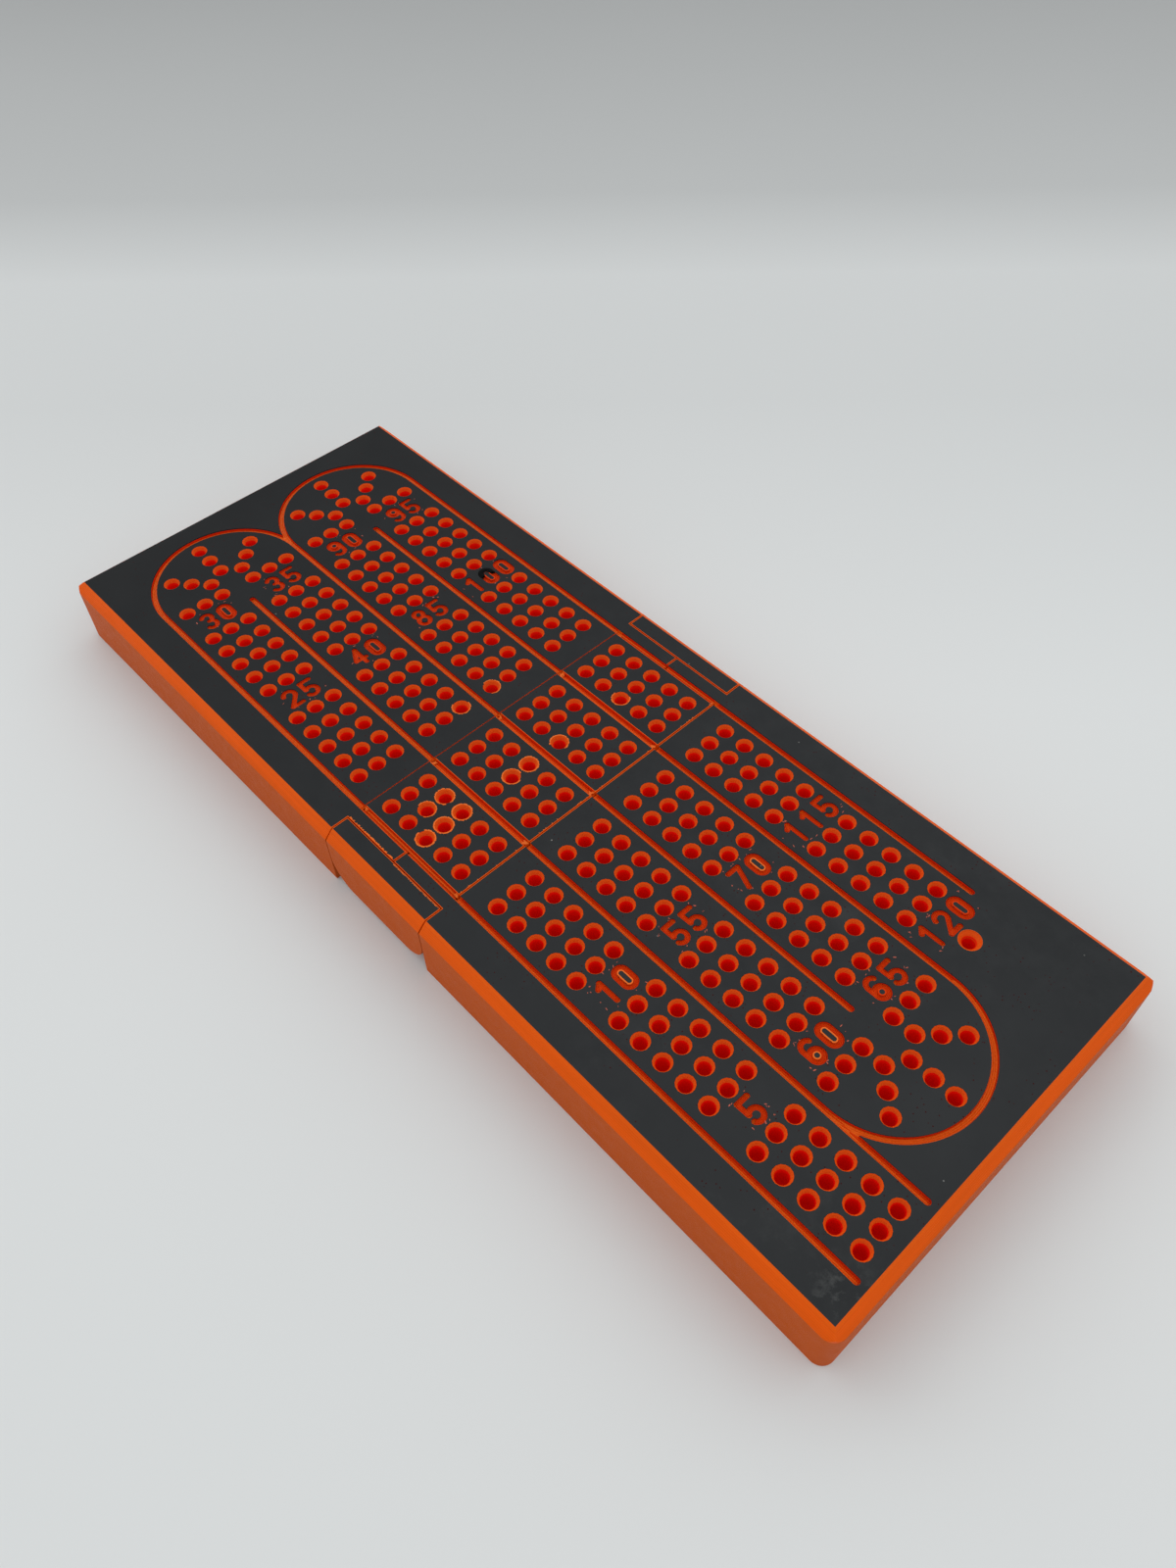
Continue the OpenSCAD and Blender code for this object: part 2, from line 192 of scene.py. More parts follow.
class BoardColours(bpy.types.PropertyGroup):
    """Colours of the printed plastics, the metal and the table"""

    orange: colour_value("Orange", "Plastic of the trays", (0.85, 0.114, 0.002))
    # Painted shade: a darker orange for the outer upright walls, standing in for the light they lack
    outer_wall_shade: colour_value(
        "Orange Walls", "Plastic of the upright walls, dulled by its layers", (0.53, 0.090, 0.008))
    lip: colour_value("Torn Lips", "Thin torn plastic round some holes", (0.88, 0.17, 0.020))
    hole_wall: colour_value(
        "Hole Walls", "Orange plastic on the ledges of the holes", (0.86, 0.112, 0.004))
    # Painted shade: a darker orange on the risers between the ledges of the holes
    hole_shade: colour_value(
        "Hole Shade", "Orange plastic between the ledges of the holes", (0.76, 0.086, 0.003))
    # Painted shade and painted glow: the deep red of the lower hole walls, also the colour of their faint
    # red light
    painted_hole_red: colour_value("Hole Red", "Orange plastic deep inside the holes", (0.72, 0.005, 0.001))
    # Painted shade: a darker, redder orange for the walls of the grooves and figures
    recess_shade_red: colour_value(
        "Groove Red", "Orange plastic on the walls of grooves and numbers", (0.72, 0.030, 0.001))
    # Painted shade: a darker, redder orange for the recessed figures and the shaded strands
    trough_shade_red: colour_value(
        "Figure Red", "Orange plastic on the floors of the figures", (0.70, 0.050, 0.001))
    charcoal: colour_value("Charcoal", "Plastic of the playing face", (0.0275, 0.0290, 0.0302))
    charcoal_pale: colour_value(
        "Pale Charcoal", "Dusty parts of the playing face", (0.044, 0.046, 0.047))
    black_fill: colour_value("Black Fill", "Dark plastic that ran into a figure", (0.004, 0.004, 0.004))
    crumb: colour_value("Crumb", "Crumbs of plastic beside the figures", (0.50, 0.110, 0.070))
    scuff: colour_value("Scuff", "Rubbed marks on the playing face", (0.085, 0.087, 0.085))
    steel: colour_value("Steel", "Hinge pins", (0.56, 0.57, 0.58))
    nickel: colour_value("Nickel", "Magnets", (0.62, 0.61, 0.58))
    table: colour_value("Table", "Floor under the board", (0.768, 0.785, 0.776))


class BoardStage(bpy.types.PropertyGroup):
    """Light and camera"""

    sky_strength: bpy.props.FloatProperty(
        name="Sky Strength", description="Even light from all round", default=1.07, min=0)
    lamp_power: bpy.props.FloatProperty(
        name="Lamp Power", description="Soft lamp beside the board", default=2.5, min=0, unit="POWER")
    camera_place: bpy.props.FloatVectorProperty(
        name="Camera Place", description="Where the camera stands", subtype="TRANSLATION",
        default=(0.13891, -0.11277, 0.2335))
    camera_turn: bpy.props.FloatVectorProperty(
        name="Camera Turn", description="How the camera is turned", subtype="EULER",
        default=(math.radians(38.1217), math.radians(0.7553), math.radians(46.8230)))
    lens: bpy.props.FloatProperty(
        name="Lens", description="Focal length of the camera", default=28.2526, unit="CAMERA")


# Small tools of the trade


def go_to(mode):
    """Turns to edit mode or to object mode."""
    bpy.ops.object.mode_set(mode=mode)


def clear_selection():
    if bpy.context.object and bpy.context.object.mode != "OBJECT":
        go_to("OBJECT")
    bpy.ops.object.select_all(action="DESELECT")


def only(obj):
    """Makes one object the selected and active one."""
    clear_selection()
    obj.select_set(True)
    bpy.context.view_layer.objects.active = obj
    return obj


def start_piece(name):
    """Names the new primitive, puts its place in its mesh and opens it for editing."""
    piece = bpy.context.object
    piece.name = name
    piece.data.name = name
    bpy.ops.object.transform_apply(location=True, rotation=True, scale=True)
    go_to("EDIT")
    select_whole()
    return piece


def end_piece(piece, body, finish=None):
    """Closes a piece with its place in its mesh, and gives it its body and finish."""
    only(piece)
    bpy.ops.object.transform_apply(location=True, rotation=True, scale=True)
    if finish:
        piece.data.materials.clear()
        piece.data.materials.append(material_of(finish))
    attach(piece, body)
    return piece


def select_whole():
    """Selects, in edit mode, the whole mesh."""
    bpy.ops.mesh.select_all(action="SELECT")


def select_verts(piece, test):
    """Selects, in edit mode, the vertices whose place in millimetres passes a test."""
    bpy.ops.mesh.select_mode(type="VERT")
    mesh = bmesh.from_edit_mesh(piece.data)
    for vert in mesh.verts:
        vert.select_set(bool(test(vert.co/MM)))
    mesh.select_flush_mode()
    bmesh.update_edit_mesh(piece.data)


def raise_edges(x=0.0, y=0.0, z=0.0):
    """Extrudes the selected edges or faces by millimetres."""
    bpy.ops.mesh.extrude_region_move(TRANSFORM_OT_translate={"value": (x*MM, y*MM, z*MM)})


def scale_about(x, y, z, centre=(0, 0, 0)):
    bpy.ops.transform.resize(value=(x, y, z), center_override=[c*MM for c in centre])


def move_by(x=0.0, y=0.0, z=0.0):
    """Moves what is selected in edit mode by millimetres."""
    bpy.ops.transform.translate(value=(x*MM, y*MM, z*MM))


def cut_away(piece, point, normal):
    """Cuts a closed piece at a plane, drops what lies on the normal's side and closes the cut."""
    only(piece)
    go_to("EDIT")
    select_whole()
    bpy.ops.mesh.bisect(plane_co=[c*MM for c in point], plane_no=normal, use_fill=True,
                        clear_outer=True, threshold=1e-7)
    go_to("OBJECT")


def bridge_rims():
    """Closes a wall between its two open rims."""
    bpy.ops.mesh.select_mode(type="EDGE")
    bpy.ops.mesh.select_all(action="DESELECT")
    bpy.ops.mesh.select_non_manifold()
    bpy.ops.mesh.bridge_edge_loops()
    face_outwards()


def face_outwards():
    """Turns every face outwards, and leaves edit mode."""
    select_whole()
    bpy.ops.mesh.normals_make_consistent(inside=False)
    go_to("OBJECT")


def smooth(degrees):
    """Shades the active piece smooth, up to an angle between its faces."""
    bpy.ops.object.shade_smooth_by_angle(angle=math.radians(degrees))


def apply_modifier(piece, kind, **values):
    """Gives the active piece a modifier, and applies it at once."""
    bpy.ops.object.modifier_add(type=kind)
    made = piece.modifiers[-1]
    for key, value in values.items():
        setattr(made, key, value)
    bpy.ops.object.modifier_apply(modifier=made.name)


def copy_of(piece, name):
    """A copy with its own mesh, left selected and active."""
    only(piece)
    bpy.ops.object.duplicate(linked=False)
    made = bpy.context.object
    made.name = name
    made.data.name = name
    return made


def join_all(pieces, name):
    """Joins pieces into the first of them."""
    clear_selection()
    for piece in pieces:
        piece.select_set(True)
    bpy.context.view_layer.objects.active = pieces[0]
    bpy.ops.object.join()
    made = bpy.context.object
    made.name = name
    made.data.name = name
    return made


def end_all(pieces, name, body, finish):
    """Joins orange pieces, and ends the one that they make."""
    return end_piece(join_all(pieces, name), body, finish)


def turned_ring(name, ledges, sides=14):
    """A closed ring whose inner side steps down through radii and depths under the face."""
    bpy.ops.mesh.primitive_circle_add(vertices=sides, radius=ledges[0][0]*MM,
                                      location=(0, 0, (BOARD_TOP + ledges[0][1])*MM))
    ring = start_piece(name)
    for (radius, height), (next_radius, next_height) in zip(ledges, ledges[1:]):
        raise_edges(z=next_height - height)
        scale_about(next_radius/radius, next_radius/radius, 1)
    raise_edges()
    scale_about(ledges[0][0]/ledges[-1][0], ledges[0][0]/ledges[-1][0], 1)
    bridge_rims()
    smooth(40)
    return ring


def strand_end(x, y, turn, depth, width):
    """Outline of one printed strand, standing across its run at a place."""
    bpy.ops.mesh.primitive_circle_add(vertices=8, radius=width*MM, fill_type="NGON", location=(0, 0, 0))
    strand = start_piece("strand")
    scale_about(1, 0.62, 1)
    bpy.ops.transform.rotate(value=math.pi/2, orient_axis="X", center_override=(0, 0, 0))
    bpy.ops.transform.rotate(value=-turn, orient_axis="Z", center_override=(0, 0, 0))
    move_by(x, y, BOARD_TOP - depth)
    return strand


def straight_strand(x, y, reach_x, reach_y, depth=STRAND_DEPTH, width=STRAND_WIDTH):
    """A strand that runs straight from a place."""
    strand = strand_end(x, y, math.atan2(reach_y, reach_x) + math.pi/2, depth, width)
    raise_edges(x=reach_x, y=reach_y)
    face_outwards()
    return strand


def bent_strand(middle, radius, start, sweep, steps, depth=STRAND_DEPTH, width=STRAND_WIDTH):
    """A strand that runs round a middle, from a start angle through a sweep, in degrees."""
    start = math.radians(start)
    strand = strand_end(middle[0] + radius*math.cos(start), middle[1] + radius*math.sin(start),
                        start, depth, width)
    bpy.ops.mesh.spin(steps=steps, angle=-math.radians(sweep), center=(middle[0]*MM, middle[1]*MM, 0),
                      axis=(0, 0, 1))
    face_outwards()
    return strand


# Places of the holes, in millimetres


def turn_of(x, y):
    """Direction of a place seen from the middle, from 0 to 360 degrees."""
    return math.degrees(math.atan2(y, x)) % 360


def lane_y(lane):
    return (lane - 2.5)*bpy.context.scene.board_track.lane_pitch


def row_holes(slots, lane):
    track = bpy.context.scene.board_track
    return [(slot*track.row_pitch, lane_y(lane) + side*track.track_pitch)
            for slot in slots for side in (-1, 0, 1)]


def fan_holes(middle, side):
    """The nine holes of a turn between two lanes, at one end of the board."""
    track = bpy.context.scene.board_track
    step = track.track_pitch*math.cos(math.pi/4)
    inner = track.lane_pitch/2 - track.track_pitch
    row_x = FAN_SLOT*track.row_pitch
    corners = [(side*(row_x + track.track_pitch + i*step), middle + turn*(inner + i*step))
               for i in range(3) for turn in (-1, 1)]
    nose = [(side*(row_x + track.fan_nose + i*track.track_pitch), middle) for i in range(3)]
    return corners + nose


def holes_of(body):
    """Centres of the peg holes of one body, without the last hole."""
    if body == "spine":
        return [hole for lane in LANES for hole in row_holes(range(-2, 3), lane)]
    if body == "far_half":
        slots = [-FAN_SLOT] + [-slot for slot in HALF_SLOTS]
        holes = [hole for lane in LANES for hole in row_holes(slots, lane)]
        return holes + fan_holes(lane_y(1.5), -1) + fan_holes(lane_y(3.5), -1)
    holes = [hole for lane in LANES for hole in row_holes(HALF_SLOTS, lane)]
    starts = row_holes(START_SLOTS, 1) + row_holes([FAN_SLOT], 2) + row_holes([FAN_SLOT], 3)
    return holes + starts + fan_holes(lane_y(2.5), 1)


def last_hole():
    return FAN_SLOT*bpy.context.scene.board_track.row_pitch, lane_y(4)


# Materials


def new_material(name, colour, roughness, sheen=0.5):
    """A material with its surface shader, ready for more nodes."""
    material = bpy.data.materials.new(name)
    material.use_nodes = True
    material.diffuse_color = (*colour, 1)
    surface = material.node_tree.nodes["Principled BSDF"]
    surface.inputs["Base Color"].default_value = (*colour, 1)
    surface.inputs["Roughness"].default_value = roughness
    surface.inputs["Specular IOR Level"].default_value = sheen
    return material, material.node_tree, surface


def add_node(tree, kind, links=(), **values):
    """Adds a node, sets its own settings and sockets, and links its inputs."""
    made = tree.nodes.new("ShaderNode" + kind)
    for key, value in values.items():
        if hasattr(made, key):
            setattr(made, key, value)
        else:
            made.inputs[key.replace("_", " ")].default_value = value
    for socket, source in dict(links).items():
        tree.links.new(source, made.inputs[socket])
    return made


def add_math(tree, operation, a, b=None):
    """One step of arithmetic, on sockets or plain numbers."""
    made = tree.nodes.new("ShaderNodeMath")
    made.operation = operation
    for place, value in enumerate((a, b)):
        if value is None:
            continue
        if isinstance(value, bpy.types.NodeSocket):
            tree.links.new(value, made.inputs[place])
        else:
            made.inputs[place].default_value = value
    return made.outputs[0]


def add_mix(tree, factor, a, b):
    """Mixes two colours, given as sockets or as plain colours."""
    made = tree.nodes.new("ShaderNodeMix")
    made.data_type = "RGBA"
    for name, value in (("Factor_Float", factor), ("A_Color", a), ("B_Color", b)):
        socket = next(s for s in made.inputs if s.identifier == name)
        if isinstance(value, bpy.types.NodeSocket):
            tree.links.new(value, socket)
        elif name == "Factor_Float":
            socket.default_value = value
        else:
            socket.default_value = (*value, 1)
    return next(s for s in made.outputs if s.identifier == "Result_Color")


def times(tree, first, *others):
    """The product of sockets and plain numbers."""
    for other in others:
        first = add_math(tree, "MULTIPLY", first, other)
    return first


def add_place(tree):
    """A piece's own coordinates, as one socket and as three."""
    place = add_node(tree, "TexCoord").outputs["Object"]
    return place, add_node(tree, "SeparateXYZ", {"Vector": place}).outputs


def add_bump(tree, surface, height, strength, reach):
    """Gives a surface its relief, with a reach in millimetres."""
    bump = add_node(tree, "Bump", {"Height": height}, Strength=strength, Distance=reach*MM)
    tree.links.new(bump.outputs["Normal"], surface.inputs["Normal"])


def add_noise(tree, place, scale, detail=3.0, roughness=0.5):
    return add_node(tree, "TexNoise", {"Vector": place}, Scale=scale, Detail=detail,
                    Roughness=roughness).outputs["Fac"]


def add_distance(tree, place, point):
    """Distance from a fixed place, in metres."""
    made = tree.nodes.new("ShaderNodeVectorMath")
    made.operation = "DISTANCE"
    tree.links.new(place, made.inputs[0])
    made.inputs[1].default_value = point
    return made.outputs["Value"]


def add_range(tree, value, low, high, to_low=0.0, to_high=1.0):
    made = add_node(tree, "MapRange", {"Value": value})
    for name, number in (("From Min", low), ("From Max", high), ("To Min", to_low), ("To Max", to_high)):
        made.inputs[name].default_value = number
    return made.outputs["Result"]


def add_band(tree, value, band, falling=False):
    """Turns from 0 to 1 over a band of millimetres, or from 1 to 0."""
    low, high = reversed(band) if falling else band
    return add_range(tree, value, low*MM, high*MM)


def add_patches(tree, place, scale, low, high, to=(0.0, 1.0), detail=3.0, roughness=0.5):
    """Noise, cut to what lies between two levels."""
    return add_range(tree, add_noise(tree, place, scale, detail, roughness), low, high, *to)


def add_specks(tree, place, scale, reach, core, patches):
    """Small round specks, kept only inside some patches."""
    cells = add_node(tree, "TexVoronoi", {"Vector": place}, Scale=scale).outputs["Distance"]
    return times(tree, add_range(tree, cells, reach, core), patches)


def orange_print(name, colours, made, flat_colour, recess_shade_colour, sheen=0.09, painted_red_below=16.0):
    """Orange plastic as printed: layer lines on upright walls, laid lines on flats, soft streaks, painted
    shade and glow.
    """
    material, tree, surface = new_material(name, flat_colour, 0.46, sheen)
    place, spot = add_place(tree)
    normal = add_node(tree, "NewGeometry").outputs["Normal"]
    lean = add_node(tree, "SeparateXYZ", {"Vector": normal}).outputs["Z"]
    flat = add_range(tree, add_math(tree, "ABSOLUTE", lean), 0.80, 0.97)
    steep = add_range(tree, flat, 0, 1, 1, 0)

    # Layer lines run round the walls, one every layer
    waver = times(tree, add_noise(tree, place, 60.0, 2.0), 0.7)
    layers = times(tree, spot["Z"], math.pi/(made.layer_height*MM))
    ridges = add_math(tree, "ABSOLUTE", add_math(tree, "SINE", add_math(tree, "ADD", layers, waver)))

    # Slanting lines on the flats of the underside, one every line width
    across = add_math(tree, "ADD", spot["X"], spot["Y"])
    lines = times(tree, across, math.pi/(made.line_width*MM*math.sqrt(2)))
    low = add_band(tree, spot["Z"], ROOF_BAND, falling=True)
    rakes = times(tree, add_math(tree, "ABSOLUTE", add_math(tree, "SINE", lines)), low)

    grain = add_noise(tree, place, 2600.0, 2.0)
    height = add_math(tree, "ADD", times(tree, ridges, steep, 0.6), times(tree, rakes, flat, 0.6))
    add_bump(tree, surface, add_math(tree, "ADD", height, times(tree, grain, 0.3)), 0.3, 0.06)

    # Streaks along the walls, then painted shade: a darker, redder tone on the walls that stand inside the
    # playing face
    stretched = add_node(tree, "Mapping", {"Vector": place}, Scale=(30, 30, 900)).outputs[0]
    streak = add_patches(tree, stretched, 1.0, 0.3, 0.75, detail=4.0, roughness=0.6)
    colour = add_mix(tree, streak, flat_colour, tuple(0.88*c for c in flat_colour))
    away_x = add_math(tree, "ABSOLUTE", spot["X"])
    away_y = add_math(tree, "ABSOLUTE", spot["Y"])
    inside = times(tree, add_math(tree, "LESS_THAN", away_x, (BOARD_X - EDGE_ROOM)*MM),
                   add_math(tree, "LESS_THAN", away_y, (BOARD_Y - EDGE_ROOM)*MM))

    # The walls that face each other across a seam keep the tone of the outer walls
    off_seam = add_math(tree, "ABSOLUTE", add_math(tree, "SUBTRACT", away_x, SEAM_MIDDLE*MM))
    inside = times(tree, inside, add_math(tree, "GREATER_THAN", off_seam, SEAM_REACH*MM))
    # Painted shade: the mask of upright walls inside the playing face that take the darker recess colour
    wall = times(tree, steep, inside, add_band(tree, spot["Z"], INNER_WALL_BAND))
    colour = add_mix(tree, wall, colour, recess_shade_colour)
    # Painted shade: the upright walls below the outer wall band take the darker orange
    edge = times(tree, steep, add_band(tree, spot["Z"], OUTER_WALL_BAND, falling=True))
    colour = add_mix(tree, edge, colour, colours.outer_wall_shade)

    # The rims along the far seam are as dark as the face
    on_spine = add_math(tree, "LESS_THAN", away_y, SPINE_END*MM)
    seam = add_math(tree, "ABSOLUTE", add_math(tree, "ADD", spot["X"], SEAM_MIDDLE*MM))
    seam = times(tree, add_band(tree, seam, SEAM_BAND, falling=True),
                 add_band(tree, spot["Z"], FACE_BAND), on_spine)
    colour = add_mix(tree, seam, colour, colours.charcoal)

    # Painted shade and painted glow: below a depth the walls of the holes turn deep red and give off a
    # faint red light, in place of light that wanders through the plastic
    deep = times(tree, inside, add_band(tree, spot["Z"], (painted_red_below - RED_FADE, painted_red_below), falling=True),
                 add_band(tree, spot["Z"], HOLE_FLOOR_BAND), on_spine)
    colour = add_mix(tree, deep, colour, colours.painted_hole_red)
    tree.links.new(colour, surface.inputs["Base Color"])
    surface.inputs["Emission Color"].default_value = (*colours.painted_hole_red, 1)
    tree.links.new(times(tree, deep, 0.10), surface.inputs["Emission Strength"])
    rough = add_patches(tree, place, 400.0, 0.3, 0.7, (0.40, 0.54))
    tree.links.new(rough, surface.inputs["Roughness"])
    return material


def charcoal_print(colours):
    """Charcoal plastic of the playing face: matt, finely speckled, with dusty smudges near one end."""
    material, tree, surface = new_material("charcoal_print", colours.charcoal, 0.55, 0.06)
    place, spot = add_place(tree)
    dust = add_patches(tree, place, 14.0, 0.52, 0.80, (0.0, 0.6), 6.0, 0.62)
    mottle = add_patches(tree, place, 160.0, 0.35, 0.72, (0.0, 0.4), 5.0, 0.6)
    flecks = add_patches(tree, place, 1500.0, 0.62, 0.74, (0.0, 0.5), 3.0, 0.7)
    dusty = add_math(tree, "MAXIMUM", dust, add_math(tree, "MAXIMUM", mottle, flecks))
    colour = add_mix(tree, dusty, colours.charcoal, colours.charcoal_pale)
    clean = add_range(tree, spot["X"], 0.06, -0.12, 0.0, 1.0)
    colour = add_mix(tree, clean, colour, tuple(0.66*c for c in colours.charcoal))

    # Pale rubbed marks: one by the near corner, fainter ones along the near half
    corner = add_range(tree, add_distance(tree, place, (0.1225, -0.0425, 0.0176)), 0.0075, 0.0015)
    marks = times(tree, corner, add_patches(tree, place, 420.0, 0.50, 0.72, detail=6.0, roughness=0.7))
    faint = add_patches(tree, place, 45.0, 0.58, 0.80, (0.0, 0.35), 6.0, 0.7)
    along = times(tree, add_range(tree, spot["X"], 0.02, 0.10), faint)
    colour = add_mix(tree, add_math(tree, "MAXIMUM", marks, along), colour, colours.scuff)

    # Pinholes in the face, where the orange plastic shows in painted shade as dark red dots, and a few
    # grains of pale dust
    some = add_patches(tree, place, 160.0, 0.50, 0.56, detail=2.0)
    pins = add_specks(tree, place, 900.0, 0.15, 0.09, some)
    colour = add_mix(tree, pins, colour, tuple(0.06*c for c in colours.painted_hole_red))
    rare = add_patches(tree, place, 90.0, 0.60, 0.64, detail=2.0)
    grains = add_specks(tree, place, 210.0, 0.050, 0.030, rare)
    colour = add_mix(tree, grains, colour, (0.22, 0.22, 0.21))
    tree.links.new(colour, surface.inputs["Base Color"])
    grain = add_noise(tree, place, 3200.0, 2.0, 0.6)
    add_bump(tree, surface, grain, 0.25, 0.03)
    rough = add_patches(tree, place, 60.0, 0.3, 0.7, (0.50, 0.62), 5.0)
    tree.links.new(rough, surface.inputs["Roughness"])
    return material


def plain_print(name, colour, sheen=0.2):
    """Small bits of plastic, finely uneven in tone."""
    material, tree, surface = new_material(name, colour, 0.5, sheen)
    place = add_node(tree, "TexCoord").outputs["Object"]
    cloud = add_patches(tree, place, 900.0, 0.3, 0.7)
    mixed = add_mix(tree, cloud, tuple(0.75*c for c in colour), tuple(min(1.25*c, 1) for c in colour))
    tree.links.new(mixed, surface.inputs["Base Color"])
    return material


def bare_metal(name, colour, roughness):
    """Turned or plated metal with a fine brushed grain."""
    material, tree, surface = new_material(name, colour, roughness)
    surface.inputs["Metallic"].default_value = 1.0
    place = add_node(tree, "TexCoord").outputs["Object"]
    stretched = add_node(tree, "Mapping", {"Vector": place}, Scale=(900, 120, 900)).outputs[0]
    brushed = add_noise(tree, stretched, 1.0)
    tree.links.new(add_range(tree, brushed, 0.3, 0.7, roughness - 0.08, roughness + 0.1),
                   surface.inputs["Roughness"])
    add_bump(tree, surface, brushed, 0.2, 0.02)
    return material


def table_top(colours):
    """Pale sheet with a faint unevenness, greyed by painted shade with distance behind the board, most
    beyond a soft band.
    """
    material, tree, surface = new_material("table_top", colours.table, 0.6, 0.2)
    place, spot = add_place(tree)
    cloud = add_patches(tree, place, 3.0, 0.3, 0.7)
    colour = add_mix(tree, cloud, colours.table, tuple(0.97*c for c in colours.table))
    # Painted shade: the sheet darkens with distance behind the board, standing in for the falling light
    far = add_math(tree, "ADD", times(tree, spot["X"], -0.73), times(tree, spot["Y"], 0.68))
    level = times(tree, add_range(tree, far, 0.03, 0.16, 1.0, 0.87),
                  add_range(tree, far, 0.235, 0.295, 1.0, 0.77),
                  add_range(tree, far, 0.295, 0.50, 1.0, 0.74))
    colour = add_mix(tree, level, (0, 0, 0), colour)
    tree.links.new(colour, surface.inputs["Base Color"])
    return material


def material_of(name):
    found = bpy.data.materials.get(name)
    if found is None:
        raise RuntimeError("the materials are made first: " + name)
    return found


# Operators: one for each group of pieces


class CRIBBAGE_OT_finishes(bpy.types.Operator):
    """Makes the materials and gives them to the frame's own parts"""

    bl_idname = "cribbage.finishes"
    bl_label = "Give Finishes"

    def execute(self, context):
        scene = context.scene
        colours, made = scene.board_colours, scene.board_print
        orange = orange_print("orange_print", colours, made, colours.orange, colours.recess_shade_red)
        orange_print("hole_shade_print", colours, made, colours.hole_wall, colours.hole_shade, painted_red_below=16.75)
        orange_print("torn_lip", colours, made, colours.lip, colours.lip, 0.12)
        orange_print("strand_print", colours, made, colours.orange, colours.orange, 0.16)
        orange_print("figure_shade_print", colours, made, colours.trough_shade_red, colours.recess_shade_red, 0.05)
        plain_print("black_fill", colours.black_fill, 0.02)
        plain_print("crumb", colours.crumb)
        charcoal = charcoal_print(colours)
        steel = bare_metal("drawn_steel", colours.steel, 0.3)
        nickel = bare_metal("nickel_plate", colours.nickel, 0.22)
        for name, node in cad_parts.items():
            if name in ORANGE_NODES:
                finish = orange
            elif name in DARK_NODES:
                finish = charcoal
            else:
                finish = steel if name.endswith("_pin") else nickel
            for slot in node.material_slots:
                slot.material = finish
            if not node.material_slots:
                node.data.materials.append(finish)
        return {"FINISHED"}


